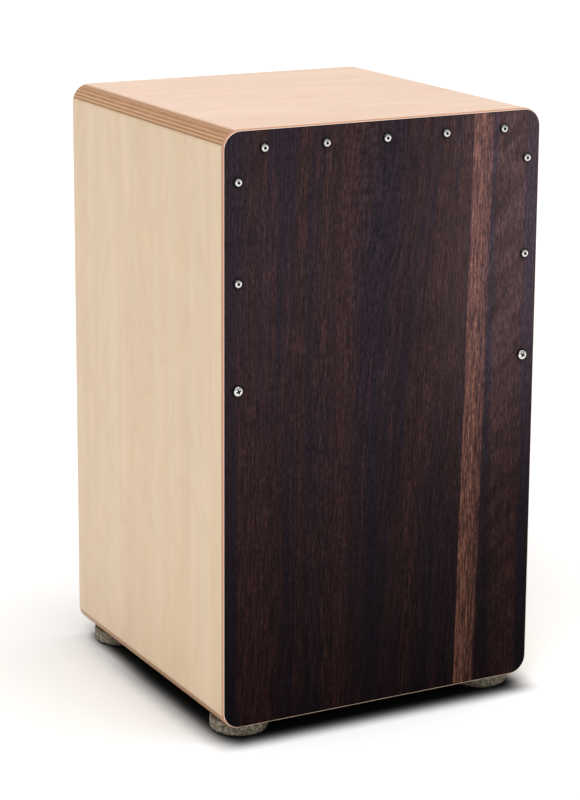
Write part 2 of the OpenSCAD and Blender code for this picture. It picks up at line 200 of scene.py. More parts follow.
class Look:
    """A material's node tree. Each method adds a node and returns the socket that carries its result."""

    # Places of the Mix node's sockets
    NUMBER_SHARE, NUMBER_A, NUMBER_B = 0, 2, 3
    COLOUR_SHARE, COLOUR_A, COLOUR_B, COLOUR_RESULT = 0, 6, 7, 2

    def __init__(self, name, **constants):
        self.material = bpy.data.materials.new(name)
        self.material.use_nodes = True
        self.nodes = self.material.node_tree.nodes
        self.shader = self.nodes["Principled BSDF"]
        coordinates = self.nodes.new("ShaderNodeTexCoord")
        self.place = coordinates.outputs["Object"]
        self.normal = coordinates.outputs["Normal"]
        for socket, value in constants.items():
            self.shader.inputs[socket.replace("_", " ")].default_value = value

    def feed(self, socket, value):
        if isinstance(value, bpy.types.NodeSocket):
            self.material.node_tree.links.new(value, socket)
        elif socket.type == "RGBA":
            socket.default_value = (*value, 1.0)
        else:
            socket.default_value = value

    def add(self, kind, inputs, output=0, **settings):
        node = self.nodes.new(kind)
        for name, value in settings.items():
            setattr(node, name, value)
        for key, value in inputs.items():
            self.feed(node.inputs[key], value)
        return node.outputs[output]

    def calc(self, operation, *values):
        return self.add("ShaderNodeMath", dict(enumerate(values)), operation=operation)

    def fold(self, operation, *values):
        """Joins any count of numbers with one operation."""
        result = values[0]
        for value in values[1:]:
            result = self.calc(operation, result, value)
        return result

    def product(self, *values):
        return self.fold("MULTIPLY", *values)

    def total(self, *values):
        return self.fold("ADD", *values)

    def highest(self, *values):
        return self.fold("MAXIMUM", *values)

    def swing(self, pattern, amount):
        """Turns a pattern from 0 to 1 into a swing round zero."""
        return self.product(self.calc("SUBTRACT", pattern, 0.5), amount)

    def part(self, vector, axis):
        return self.add("ShaderNodeSeparateXYZ", {0: vector}, output=axis)

    def scaled(self, vector, factors):
        return self.add("ShaderNodeVectorMath", {0: vector, 1: factors}, operation="MULTIPLY")

    def shifted(self, vector, offset):
        return self.add("ShaderNodeVectorMath", {0: vector, 1: offset}, operation="ADD")

    def vector(self, x, y, z):
        return self.add("ShaderNodeCombineXYZ", {0: x, 1: y, 2: z})

    def noise(self, vector, detail=2.0, roughness=0.5, distortion=0.0):
        inputs = {"Vector": vector, "Scale": 1.0, "Detail": detail, "Roughness": roughness}
        return self.add("ShaderNodeTexNoise", {**inputs, "Distortion": distortion}, output="Fac")

    def cells(self, vector, output="Color", **settings):
        inputs = {"Vector": vector, "Scale": 1.0}
        return self.add("ShaderNodeTexVoronoi", inputs, output=output, **settings)

    def rise(self, value, low, high, start=0.0, stop=1.0):
        """Goes smoothly from start to stop as value goes from low to high."""
        inputs = {"Value": value, "From Min": low, "From Max": high, "To Min": start, "To Max": stop}
        return self.add("ShaderNodeMapRange", inputs, interpolation_type="SMOOTHSTEP")

    def window(self, value, low, high, soft):
        """One between low and high, and nothing outside them."""
        start = self.rise(value, low - soft, low + soft)
        return self.product(start, self.rise(value, high - soft, high + soft, 1, 0))

    def mix(self, share, first, second):
        """Mix of two colours."""
        inputs = {self.COLOUR_SHARE: share, self.COLOUR_A: first, self.COLOUR_B: second}
        return self.add("ShaderNodeMix", inputs, output=self.COLOUR_RESULT, data_type="RGBA")

    def blend(self, share, first, second):
        """Mix of two numbers."""
        inputs = {self.NUMBER_SHARE: share, self.NUMBER_A: first, self.NUMBER_B: second}
        return self.add("ShaderNodeMix", inputs, data_type="FLOAT")

    def lit(self, colour, factor):
        """A colour made lighter or darker by a factor."""
        return self.add("ShaderNodeVectorMath", {0: colour, "Scale": factor}, operation="SCALE")

    def openness(self, distance, samples):
        """One where nothing stands within a distance, and less the more does. The materials darken by it to
        paint shade.
        """
        return self.add("ShaderNodeAmbientOcclusion", {"Distance": distance}, output="AO", samples=samples)

    def bump(self, height, distance, soft_edge=None):
        inputs = {"Height": height, "Distance": distance, "Strength": 1.0}
        if soft_edge:
            inputs["Normal"] = self.add("ShaderNodeBevel", {"Radius": soft_edge}, samples=4)
        return self.add("ShaderNodeBump", inputs)

    def finish(self, colour, roughness, normal=None):
        self.feed(self.shader.inputs["Base Color"], colour)
        self.feed(self.shader.inputs["Roughness"], roughness)
        if normal is not None:
            self.feed(self.shader.inputs["Normal"], normal)
        return self.material


def along(grain, lengthwise, crosswise):
    """Factors that stretch a pattern along the grain's axis."""
    return tuple(lengthwise if axis == grain else crosswise for axis in (X, Y, Z))


def wood_grain(look, grain):
    """Streaks, fibres and short flecks of a fine, pale wood, each from 0 to 1."""
    streaks = look.noise(look.scaled(look.place, along(grain, 7, 190)), detail=4, roughness=0.62)
    fibres = look.noise(look.scaled(look.place, along(grain, 90, 2300)), detail=2)
    flecks = look.noise(look.scaled(look.place, along(grain, 170, 1500)), detail=1)
    return streaks, fibres, look.rise(flecks, 0.66, 0.78)


def ply_depth(look, board, axis, side):
    """How many plies below its outer face a point of a board lies. The plies waver a little inside it."""
    low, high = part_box(board)
    plies = PLIES[board]
    ply = (high[axis] - low[axis]) / plies
    outer = high[axis] if side > 0 else low[axis]
    depth = look.calc("DIVIDE", look.calc("SUBTRACT", look.part(look.place, axis), outer), -side * ply)
    waver = look.swing(look.noise(look.scaled(look.place, (26, 26, 26)), detail=2), 0.45)
    inside = look.window(depth, 0.6, plies - 0.6, 0.25)
    depth = look.total(depth, look.product(waver, inside))
    return look.calc("MINIMUM", look.calc("MAXIMUM", depth, 0.02), plies - 0.02)


def birch_face(look, grain, tone, figure, streaking):
    """Rotary-cut face ply. figure says how strong its wavy lines are, and streaking its warm streaks."""
    broad = look.noise(look.scaled(look.place, along(grain, 1.6, 48)), detail=1)
    face = look.mix(look.rise(broad, 0.42, 0.6, 0, streaking), tone, look.scaled(tone, WARM_STREAK))
    drift = look.noise(look.scaled(look.place, along(grain, 3, 7)), detail=3, roughness=0.45, distortion=0.4)
    contours = look.rise(look.calc("SINE", look.product(drift, 95.0)), 0.45, 1.0)
    return look.mix(look.product(contours, figure), face, look.scaled(tone, FIGURE_LINE))


def glue_lines(look, axis, depth, plies):
    """Dark lines between the plies, and the line where the board's last ply meets the next board."""
    gap = look.calc("ABSOLUTE", look.calc("SUBTRACT", depth, look.calc("ROUND", depth)))
    lines = look.product(look.rise(gap, 0.03, 0.1, 1, 0), look.window(depth, 0.5, plies - 0.5, 0.05))
    edge_on = look.rise(look.calc("ABSOLUTE", look.part(look.normal, axis)), 0.5, 0.8, 1, 0)
    seam = look.product(look.rise(depth, plies - 0.35, plies - 0.2), edge_on)
    return look.calc("MAXIMUM", lines, seam)


def plywood(board, axis, side, grain, tone, figure, streaking):
    """Lacquered birch plywood. The plies are counted inwards from the outer face, which is on that side of
    the axis. Each shows long grain or end grain by how the surface cuts its fibres."""
    look = Look(board + "_ply", Specular_IOR_Level=0.35, Coat_Weight=0.18, Coat_Roughness=0.3)
    plies = PLIES[board]
    cross_grain = ({X, Y, Z} - {axis, grain}).pop()
    depth = ply_depth(look, board, axis, side)
    turned = look.calc("MODULO", look.calc("FLOOR", depth), 2.0)
    ends = [look.calc("ABSOLUTE", look.part(look.normal, direction)) for direction in (grain, cross_grain)]
    end_grain = look.rise(look.blend(turned, *ends), 0.1, 0.42)
    both_ways = zip(wood_grain(look, grain), wood_grain(look, cross_grain))
    streaks, fibres, flecks = [look.blend(turned, *patterns) for patterns in both_ways]

    face = birch_face(look, grain, tone, figure, streaking)
    face = look.mix(look.product(flecks, 0.35), face, BROWN_FLECK)
    core = look.mix(look.rise(depth, 1.5, 6.0), CORE_DARK, CORE_LIGHT)
    clouds = look.noise(look.scaled(look.place, along(grain, 13, 40)), detail=2, distortion=0.6)
    shade = look.total(1.0, look.swing(streaks, 0.1), look.swing(clouds, 0.16), look.swing(fibres, 0.05))
    long_grain = look.lit(look.mix(look.window(depth, 1.0, plies - 1.0, 0.02), face, core), shade)

    pores = look.noise(look.scaled(look.place, (1900, 1900, 1900)), detail=2, roughness=0.7)
    bundles = look.noise(look.scaled(look.place, along(axis, 500, 60)), detail=3)
    end_shade = look.total(look.rise(pores, 0.3, 0.7, 0.82, 1.06), look.rise(bundles, 0.3, 0.7, -0.12, 0.12))
    wood = look.mix(end_grain, long_grain, look.lit(END_GRAIN, end_shade))
    colour = look.mix(look.product(glue_lines(look, axis, depth, plies), 0.75), wood, GLUE_LINE)
    height = look.total(look.product(fibres, 0.5), look.product(pores, end_grain))
    roughness = look.rise(streaks, 0.3, 0.7, 0.38, 0.5)
    return look.finish(colour, roughness, look.bump(height, 0.03 * MM, soft_edge=0.35 * MM))


class PlateLook(Look):
    """The playing plate: dark streaked veneer on a pale and pink layered core, all shown at its rim."""

    def __init__(self):
        super().__init__("streaked_plate", Specular_IOR_Level=0.03)
        low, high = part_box("playing_plate")
        self.x = self.part(self.place, X)
        self.z = self.part(self.place, Z)
        self.depth = self.calc("SUBTRACT", self.part(self.place, Y), low.y)
        self.up = self.calc("DIVIDE", self.calc("SUBTRACT", self.z, low.z), high.z - low.z)
        lean = self.product(self.calc("SUBTRACT", self.up, 0.5), STRIPE_LEAN)
        self.leaning = self.calc("SUBTRACT", self.x, lean)
        self.middle = self.window(self.x, *FIGURED_MIDDLE, 30 * MM)
        self.curly = self.window(self.x, *CURLY_BAND, 6 * MM)
        self.across = self.bent_fibres()
        self.bands = self.fibres(46, 1.3, detail=5, roughness=0.68)
        self.threads = self.fibres(560, 34, detail=3, roughness=0.75)
        self.pores = self.rise(self.fibres(1500, 60, detail=1), 0.56, 0.72)

    def bent_fibres(self):
        """Place across the fibres, which lean, sway and fan out in the middle and curl on the right."""
        drift = self.swing(self.noise(self.scaled(self.place, (5, 0, 2.4))), 22 * MM)
        sway = self.swing(self.noise(self.scaled(self.place, (9, 0, 3.2)), detail=2), 50 * MM)
        curl = self.swing(self.noise(self.scaled(self.place, (22, 0, 85)), detail=1), 8 * MM)
        fan = self.product(self.calc("SUBTRACT", self.up, 0.35), -34 * MM)
        in_middle = self.product(self.total(sway, fan), self.middle)
        return self.total(self.leaning, drift, in_middle, self.product(curl, self.curly))

    def fibres(self, crosswise, lengthwise, **settings):
        """Noise that follows the bent fibres."""
        grain = self.vector(self.across, 0.0, self.z)
        return self.noise(self.scaled(grain, (crosswise, 0, lengthwise)), **settings)

    def margins(self):
        """Browner bands near the left and right edges. The left one fades towards the top."""
        both = self.window(self.calc("ABSOLUTE", self.x), *SIDE_BANDS, 4 * MM)
        return self.product(both, self.blend(self.curly, self.rise(self.up, 0.3, 0.62, 1, 0.2), 1.0))

    def dark_veneer(self, margins):
        colour = self.mix(self.rise(self.bands, 0.4, 0.54), PLATE_BLUE_BLACK, PLATE_DARK)
        colour = self.mix(self.window(self.across, *DARK_BAND, 4 * MM), colour, PLATE_BLUE_BLACK)
        lines = self.rise(self.fibres(150, 4, detail=2), 0.5, 0.66)
        brown = self.highest(
            self.rise(self.blend(0.4, self.bands, self.threads), 0.5, 0.64),
            self.product(lines, self.rise(self.up, 0, 0.5, 0.3, 0.75)),
            self.product(self.window(self.across, *BROWN_BAND, 5 * MM), 0.9),
            self.window(self.leaning, *THIN_LINE, 0.8 * MM),
        )
        brown = self.product(brown, self.rise(self.threads, 0.34, 0.6, 0.3, 1))
        margins = self.product(margins, self.rise(self.threads, 0.34, 0.6, 0.2, 0.8))
        colour = self.mix(brown, colour, PLATE_BROWN)
        colour = self.mix(margins, colour, PLATE_BROWN)
        edges = self.rise(self.calc("ABSOLUTE", self.x), *EDGE_DARKENS)
        return self.mix(edges, colour, PLATE_BLUE_BLACK)

    def with_stripe(self, colour):
        """Lays the pale stripe over the dark veneer, weaker in its right half."""
        inside = self.product(
            self.rise(self.leaning, *STRIPE_START),
            self.rise(self.leaning, *STRIPE_DIMS, 1, 0.65),
            self.rise(self.leaning, *STRIPE_END, 1, 0),
        )
        tone = self.mix(self.rise(self.threads, 0.36, 0.62), PLATE_STRIPE_DARK, PLATE_STRIPE)
        return self.mix(inside, colour, tone)

    def fibre_shade(self):
        """Lightness from the fibres and pores, the figure in the middle and the ripples on the right."""
        dashes = self.fibres(860, 180, detail=2, roughness=0.6)
        figure = self.noise(self.scaled(self.place, (15, 0, 3.4)), detail=2, distortion=0.35)
        figure = self.calc("SINE", self.product(figure, 75.0))
        slope = self.total(self.product(self.z, 46.0), self.product(self.x, -34.0))
        ripples = self.noise(self.vector(self.product(self.x, 24.0), 0.0, slope), detail=3)
        return self.product(
            self.rise(self.threads, 0.3, 0.7, 0.6, 1.4),
            self.rise(dashes, 0.3, 0.7, 0.5, 1.5),
            self.rise(self.pores, 0, 1, 1, 0.5),
            self.blend(self.middle, 1.0, self.rise(figure, -1, 1, 0.86, 1.14)),
            self.blend(self.curly, 1.0, self.rise(ripples, 0.36, 0.62, 0.7, 1.3)),
        )

    def painted_sheen(self, shade, margins, height_up):
        """Painted sheen laid on the veneer's colour, which grows towards the top, and most at the upper
        right.
        """
        to_right = self.product(self.rise(self.x, 10 * MM, 150 * MM, 0, 1.7), self.rise(self.up, 0.25, 0.7))
        strength = self.product(height_up, self.total(1.0, to_right), self.blend(0.6, 1.0, shade))
        tone = self.mix(self.rise(self.bands, 0.42, 0.56), PLATE_BLUE_PAINTED_SHEEN, PLATE_BROWN_PAINTED_SHEEN)
        tone = self.mix(self.product(margins, 0.9), tone, PLATE_BROWN_PAINTED_SHEEN)
        return self.lit(tone, strength)

    def face(self):
        margins = self.margins()
        shade = self.fibre_shade()
        height_up = self.rise(self.up, -0.06, 0.88)
        wood = self.with_stripe(self.dark_veneer(margins))
        # Painted shade: the veneer is darker towards the bottom of the plate
        wood = self.lit(wood, self.product(shade, self.blend(height_up, 0.6, 1.0)))
        # Painted sheen added on the veneer's colour
        face = self.shifted(wood, self.painted_sheen(shade, margins, height_up))
        # Painted shade round the screw heads, where they stand close over the veneer
        face = self.lit(face, self.rise(self.openness(3.5 * MM, 6), 0.6, 0.96, 0.12, 1.0))
        return self.lit(face, self.rise(self.depth, *RIM_DARK, 1.0, 0.3))

    def below_face(self):
        """The cream ply, layered core and dark glue line of the rim, and the plain wood of the back."""
        core_grain = self.noise(self.scaled(self.place, (300, 2600, 300)), detail=3)
        layers = self.noise(self.vector(0.0, self.product(self.depth, 2200.0), 0.0), detail=1)
        core = self.lit(PLATE_CORE, self.rise(self.blend(0.5, core_grain, layers), 0.3, 0.7, 0.86, 1.1))
        edge = self.mix(self.rise(self.depth, *CREAM_END), PLATE_CREAM, core)
        edge = self.mix(self.rise(self.depth, *CORE_END), edge, GLUE_LINE)
        streaks, _, flecks = wood_grain(self, Z)
        back = self.mix(flecks, PLATE_BACK, BROWN_FLECK)
        back = self.lit(back, self.rise(streaks, 0.3, 0.7, 0.92, 1.04))
        return self.mix(self.rise(self.part(self.normal, Y), 0.6, 0.8), edge, back)

    def complete(self):
        colour = self.mix(self.rise(self.depth, *VENEER_END), self.face(), self.below_face())
        height = self.calc("SUBTRACT", self.threads, self.product(self.pores, 0.8))
        roughness = self.rise(self.threads, 0.3, 0.7, 0.55, 0.42)
        return self.finish(colour, roughness, self.bump(height, 0.05 * MM))


def beech(name, grain):
    """Sanded solid beech with the short dark flecks that lie along its grain."""
    look = Look(name, Specular_IOR_Level=0.3)
    streaks, fibres, _ = wood_grain(look, grain)
    flecks = look.rise(look.noise(look.scaled(look.place, along(grain, 330, 1250)), detail=1), 0.6, 0.72)
    rings = look.noise(look.scaled(look.place, along(grain, 3, 70)), detail=3, distortion=0.5)
    colour = look.mix(look.rise(rings, 0.3, 0.7), BEECH_LIGHT, BEECH_DARK)
    colour = look.mix(look.product(flecks, 0.55), colour, BEECH_FLECK)
    end_grain = look.rise(look.calc("ABSOLUTE", look.part(look.normal, grain)), 0.4, 0.8)
    pores = look.noise(look.scaled(look.place, (2100, 2100, 2100)), detail=2)
    colour = look.mix(end_grain, colour, look.lit(BEECH_END, look.rise(pores, 0.3, 0.7, 0.75, 1.15)))
    colour = look.lit(colour, look.rise(look.blend(0.5, streaks, fibres), 0.3, 0.7, 0.92, 1.07))
    height = look.total(fibres, look.product(pores, end_grain))
    roughness = look.rise(streaks, 0.3, 0.7, 0.5, 0.62)
    return look.finish(colour, roughness, look.bump(height, 0.05 * MM, soft_edge=0.5 * MM))


def plated_steel():
    """Bright nickel plate, turned and lightly scratched, with grime and painted shade in its recesses and
    painted shade next to the plate.
    """
    look = Look("plated_steel", Metallic=1.0)
    scratches = look.noise(look.scaled(look.place, (3000, 3000, 500)), detail=3, roughness=0.7)
    smudges = look.noise(look.scaled(look.place, (260, 260, 260)), detail=2)
    colour = look.mix(look.rise(smudges, 0.35, 0.7), STEEL_BRIGHT, STEEL_SMUDGED)
    # Grime and painted shade in the recesses
    colour = look.mix(look.rise(look.openness(2.2 * MM, 8), 0.72, 0.94), STEEL_SHADE_AND_GRIME, colour)
    # Painted shade on the head's shoulder and rim next to the plate
    plate_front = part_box("playing_plate")[0].y
    y = look.part(look.place, Y)
    rim = look.rise(y, plate_front - 1.95 * MM, plate_front - 1.5 * MM, 0, 0.94)
    outside = look.rise(y, plate_front, plate_front + 0.2 * MM, 1, 0)
    colour = look.mix(look.product(rim, outside), colour, STEEL_PAINTED_SHADE_NEAR_PLATE)
    roughness = look.total(look.rise(scratches, 0.3, 0.7, 0.05, 0.12), look.rise(smudges, 0.4, 0.7, 0, 0.06))
    return look.finish(colour, roughness, look.bump(scratches, 0.01 * MM))


def drawn_wire():
    """Drawn steel wire with fine lengthwise scores and a warm tint in places."""
    look = Look("drawn_wire", Metallic=1.0)
    scores = look.noise(look.scaled(look.place, (2600, 2600, 2600)), detail=3)
    tint = look.noise(look.scaled(look.place, (70, 70, 70)), detail=2)
    colour = look.mix(look.rise(tint, 0.35, 0.7), WIRE_BRIGHT, WIRE_WARM)
    return look.finish(colour, look.rise(scores, 0.3, 0.7, 0.22, 0.4), look.bump(scores, 0.01 * MM))


def rolled_steel():
    """Sheet steel of the snare plates, with a brushed face."""
    look = Look("rolled_steel", Metallic=1.0)
    brushed = look.noise(look.scaled(look.place, (60, 900, 3200)), detail=3, roughness=0.7)
    smudges = look.noise(look.scaled(look.place, (90, 90, 90)), detail=3)
    colour = look.mix(look.rise(smudges, 0.3, 0.7), SHEET_BRIGHT, SHEET_SMUDGED)
    roughness = look.rise(brushed, 0.3, 0.7, 0.24, 0.42)
    return look.finish(colour, roughness, look.bump(brushed, 0.015 * MM, soft_edge=0.15 * MM))


def turned_brass():
    """Brass of the threaded inserts, with fine turning marks."""
    look = Look("turned_brass", Metallic=1.0)
    turning = look.noise(look.scaled(look.place, (300, 4000, 300)), detail=2)
    tarnish = look.noise(look.scaled(look.place, (240, 240, 240)), detail=3)
    colour = look.mix(look.rise(tarnish, 0.4, 0.7), BRASS_BRIGHT, BRASS_TARNISHED)
    return look.finish(colour, look.rise(turning, 0.3, 0.7, 0.22, 0.4), look.bump(turning, 0.03 * MM))


def cork_rubber():
    """Cork and rubber granules of mixed greens, browns, creams and blacks, pressed together."""
    look = Look("cork_rubber", Specular_IOR_Level=0.25)
    inputs = {"Vector": look.place, "Scale": 700.0, "Detail": 2.0}
    wander = look.add("ShaderNodeTexNoise", inputs, output="Color")
    wander = look.shifted(wander, (-0.5, -0.5, -0.5))
    ragged = look.shifted(look.place, look.scaled(wander, (1.4 * MM,) * 3))
    coarse = look.scaled(ragged, (760, 760, 760))
    fine = look.scaled(ragged, (1700, 1700, 1700))
    kind = look.part(look.cells(coarse), X)
    shade = look.part(look.cells(coarse), Y)
    crumb = look.part(look.cells(fine), X)
    colour = look.mix(look.rise(kind, 0.0, 0.6), CORK_OLIVE, CORK_GREY)
    colour = look.mix(look.rise(kind, 0.66, 0.7), colour, CORK_CREAM)
    colour = look.mix(look.rise(kind, 0.82, 0.84), colour, CORK_BROWN)
    colour = look.mix(look.rise(crumb, 0.84, 0.86), colour, CORK_BLACK)
    seams = look.cells(coarse, output="Distance", feature="DISTANCE_TO_EDGE")
    colour = look.mix(look.rise(seams, 0.0, 0.1, 0.7, 0), colour, CORK_BLACK)
    colour = look.lit(colour, look.rise(shade, 0, 1, 0.75, 1.2))
    height = look.total(look.rise(seams, 0, 0.3), look.product(crumb, 0.5))
    return look.finish(colour, look.rise(shade, 0, 1, 0.8, 0.95), look.bump(height, 0.25 * MM))


def wool_felt():
    """Grey pressed felt with a fuzzy, tufted face."""
    look = Look("wool_felt", Specular_IOR_Level=0.1, Sheen_Weight=0.6, Sheen_Roughness=0.5)
    fuzz = look.noise(look.scaled(look.place, (1600, 1600, 1600)), detail=4, roughness=0.75, distortion=1.2)
    tufts = look.noise(look.scaled(look.place, (240, 240, 240)), detail=3)
    colour = look.mix(look.rise(fuzz, 0.35, 0.7), FELT_DARK, FELT_LIGHT)
    colour = look.lit(colour, look.rise(tufts, 0.3, 0.7, 0.8, 1.15))
    return look.finish(colour, 0.95, look.bump(look.total(fuzz, tufts), 0.2 * MM))


def studio_floor():
    """Plain white ground with painted shadow: it darkens softly near the object's feet and under its playing
    plate.
    """
    look = Look("studio_floor", Specular_IOR_Level=0.0)
    # Painted shadow near the object, where little sky is open
    open_sky = look.rise(look.openness(CONTACT_REACH, 16), 0.25, 0.62)
    mottle = look.noise(look.scaled(look.place, (3, 3, 3)), detail=1)
    white = look.lit(FLOOR_WHITE, look.rise(mottle, 0, 1, 0.995, 1.0))
    low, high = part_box("playing_plate")
    x = look.part(look.place, X)
    y = look.part(look.place, Y)
    # Painted shadow under the playing plate
    painted_shadow_under_plate = look.product(
        look.rise(y, low.y - 24 * MM, low.y + 2 * MM),
        look.window(x, low.x, high.x, 20 * MM),
        look.rise(y, 0, 100 * MM, 0.95, 0),
    )
    share = look.product(open_sky, look.calc("SUBTRACT", 1.0, painted_shadow_under_plate))
    return look.finish(look.mix(share, FLOOR_PAINTED_SHADOW, white), 0.9)


# Meshes


def skin(rings, loop=False):
    """Points and faces of a tube through closed rings of equal length, capped at its ends unless it loops."""
    rows, count = len(rings), len(rings[0])
    faces = []
    for row in range(rows if loop else rows - 1):
        here, there = row * count, (row + 1) % rows * count
        for i in range(count):
            j = (i + 1) % count
            faces.append((here + i, here + j, there + j, there + i))
    if not loop:
        faces.append(tuple(reversed(range(count))))
        faces.append(tuple(range((rows - 1) * count, rows * count)))
    return [point for ring in rings for point in ring], faces


def piece(name, skins, material, body, stands_for, sharp_deg=40):
    """Joins skins into one object that rides on a body and stands for a CAD node."""
    points, faces = [], []
    for more_points, more_faces in skins:
        start = len(points)
        points += more_points
        faces += [tuple(start + i for i in face) for face in more_faces]
    mesh = bpy.data.meshes.new(name)
    mesh.from_pydata(points, [], faces)
    made = bmesh.new()
    made.from_mesh(mesh)
    bmesh.ops.recalc_face_normals(made, faces=made.faces)
    made.to_mesh(mesh)
    made.free()
    mesh.shade_smooth()
    mesh.set_sharp_from_angle(angle=math.radians(sharp_deg))
    mesh.materials.append(material)
    thing = bpy.data.objects.new(name, mesh)
    bpy.context.scene.collection.objects.link(thing)
    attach(thing, body)
    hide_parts(stands_for)


def turned_ring(centre, inward, radius_at, count, twist):
    """Ring of points round a screw's axis, which runs along Y. It lies that far inward from the centre."""
    ring = []
    for i in range(count):
        angle = 2 * math.pi * i / count
        radius = radius_at(angle) if callable(radius_at) else radius_at
        x = centre.x + radius * math.cos(angle + twist)
        z = centre.z + radius * math.sin(angle + twist)
        ring.append((x, centre.y + inward, z))
    return ring


def hexagon(flats):
    """Distance to a hexagon's edge for each angle."""
    return lambda angle: flats / 2 / math.cos(angle % (math.pi / 3) - math.pi / 6)


def cross(arm, web):
    """Distance to the edge of a four-armed cross for each angle."""

    def edge(angle):
        off_arm = abs((angle + math.pi / 4) % (math.pi / 2) - math.pi / 4)
        return min(arm / math.cos(off_arm), web / max(math.sin(off_arm), 1e-6))

    return edge


def dome_up(radius, height, r):
    """Height of a button head's surface above its underside: a low crown, a rounded shoulder and a rim."""
    share = r / radius
    if share < CROWN_SHARE:
        return height * (1 - CROWN_DROP * (share / CROWN_SHARE) ** 2)
    shoulder_top = height * (1 - CROWN_DROP)
    out = (share - CROWN_SHARE) / (1 - CROWN_SHARE)
    return HEAD_RIM + (shoulder_top - HEAD_RIM) * math.sqrt(max(0.0, 1 - out ** 1.7))


def head_rings(centre, radius, height, recess_rings, count, twist):
    """Rings of a domed head from the floor of its recess out over its dome and rim to its underside."""
    rings = [turned_ring(centre, -up, shape, count, twist) for shape, up in recess_rings]
    for step in range(DOME_STEPS):
        r = radius * (0.5 + 0.5 * math.sin(math.pi / 2 * step / DOME_STEPS))
        rings.append(turned_ring(centre, -dome_up(radius, height, r), r, count, twist))
    rings.append(turned_ring(centre, -HEAD_RIM, radius, count, twist))
    rings.append(turned_ring(centre, 0, radius - UNDERSIDE_INSET, count, twist))
    return rings


def socket_recess(radius, height):
    """A hexagon socket from its floor to its rounded mouth, as shapes and their heights in the head."""
    hexagonal = hexagon(SOCKET_FLATS)
    floor_up = height - SOCKET_DEPTH
    mouth_up = dome_up(radius, height, SOCKET_MOUTH_R + SOCKET_ROUNDING)
    return [
        (DRILL_POINT_R, floor_up - DRILL_POINT_L),
        (lambda angle: hexagonal(angle) * 0.94, floor_up),
        (hexagonal, floor_up + SOCKET_ROUNDING),
        (hexagonal, mouth_up - 0.14 * MM),
        (SOCKET_MOUTH_R, mouth_up - 0.02 * MM),
        (SOCKET_MOUTH_R + SOCKET_ROUNDING, mouth_up),
    ]


def thread_crest(inward, shank_l, turn):
    """Distance to the thread's surface for each angle. The thread fades out at both ends of the shank."""
    ease = min(1.0, inward / (2 * THREAD_PITCH), (shank_l - inward) / (2 * THREAD_PITCH))

    def crest(angle):
        turns = (inward / THREAD_PITCH - (angle + turn) / (2 * math.pi)) % 1
        groove = max(0.0, 1.25 * abs(2 * turns - 1) - 0.25)
        return SHANK_R - THREAD_DEPTH * groove * ease

    return crest


def thread_rings(centre, shank_l, count, turn):
    """Rings of a threaded shank from under its head to its blunt point."""
    rings = [turned_ring(centre, 0, SHANK_R, count, turn)]
    step = THREAD_PITCH / THREAD_STEPS
    for row in range(1, int(shank_l / step)):
        inward = row * step
        rings.append(turned_ring(centre, inward, thread_crest(inward, shank_l, turn), count, turn))
    rings.append(turned_ring(centre, shank_l - 0.1 * MM, SHANK_R - THREAD_DEPTH, count, turn))
    rings.append(turned_ring(centre, shank_l, SHANK_R - 2 * THREAD_DEPTH, count, turn))
    return rings


def socket_screw(name, steel, turn):
    """Domed machine screw with a hexagon socket and a cut thread."""
    count = SOCKET_SCREW_POINTS
    low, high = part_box(name)
    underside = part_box("playing_plate")[0].y - HEAD_GAP
    centre = Vector(((low.x + high.x) / 2, underside, (low.z + high.z) / 2))
    radius, height = (high.x - low.x) / 2, underside - low.y
    rings = head_rings(centre, radius, height, socket_recess(radius, height), count, turn)
    rings += thread_rings(centre, high.y - underside, count, turn)
    piece(name + "_threaded", [skin(rings)], steel, name + "_body", name)


def cross_recess(radius, height):
    """A cross recess from its point to its mouth, as shapes and their heights in the head."""
    rings = [(0.15 * MM, height * 0.3)]
    for share, up in ((0.35, 0.42), (0.62, 0.62), (0.84, 0.8), (0.96, 0.93)):
        arm = radius * CROSS_ARM_SHARE * share
        web = radius * CROSS_WEB_SHARE * (0.5 + 0.5 * share)
        rings.append((cross(arm, web), height * up))
    return rings


def cross_recess_screws(steel):
    """The two wood screws that hold the plate at the lowest place on each side."""
    count = CROSS_SCREW_POINTS
    low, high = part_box("cross_recess_screws")
    plate_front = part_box("playing_plate")[0].y
    height, shank_l = plate_front - low.y, high.y - plate_front
    radius = (high.z - low.z) / 2
    shank = ((0, WOOD_SHANK_R), (shank_l - WOOD_TIP_L, WOOD_SHANK_R), (shank_l, WOOD_TIP_R))
    skins = []
    for x, turn in zip((low.x + radius, high.x - radius), CROSS_SCREW_TURNS):
        centre = Vector((x, plate_front, (low.z + high.z) / 2))
        rings = head_rings(centre, radius, height, cross_recess(radius, height), count, turn)
        rings += [turned_ring(centre, inward, r, count, turn) for inward, r in shank]
        skins.append(skin(rings))
    piece("cross_recess_screws_turned", skins, steel, "box", "cross_recess_screws")


def walk(corners, step):
    """Points along a closed path through corners, each given as (u, v), no further than step apart."""
    points = []
    for (u0, v0), (u1, v1) in zip(corners, corners[1:] + corners[:1]):
        pieces = max(1, math.ceil(math.hypot(u1 - u0, v1 - v0) / step))
        points += [(u0 + (u1 - u0) * i / pieces, v0 + (v1 - v0) * i / pieces) for i in range(pieces)]
    return points


def quarter(centre, radius, start_deg, steps=6):
    """Points of a quarter arc, anticlockwise from start_deg."""
    angles = [math.radians(start_deg + 90 * i / steps) for i in range(steps + 1)]
    return [(centre[0] + radius * math.cos(a), centre[1] + radius * math.sin(a)) for a in angles]


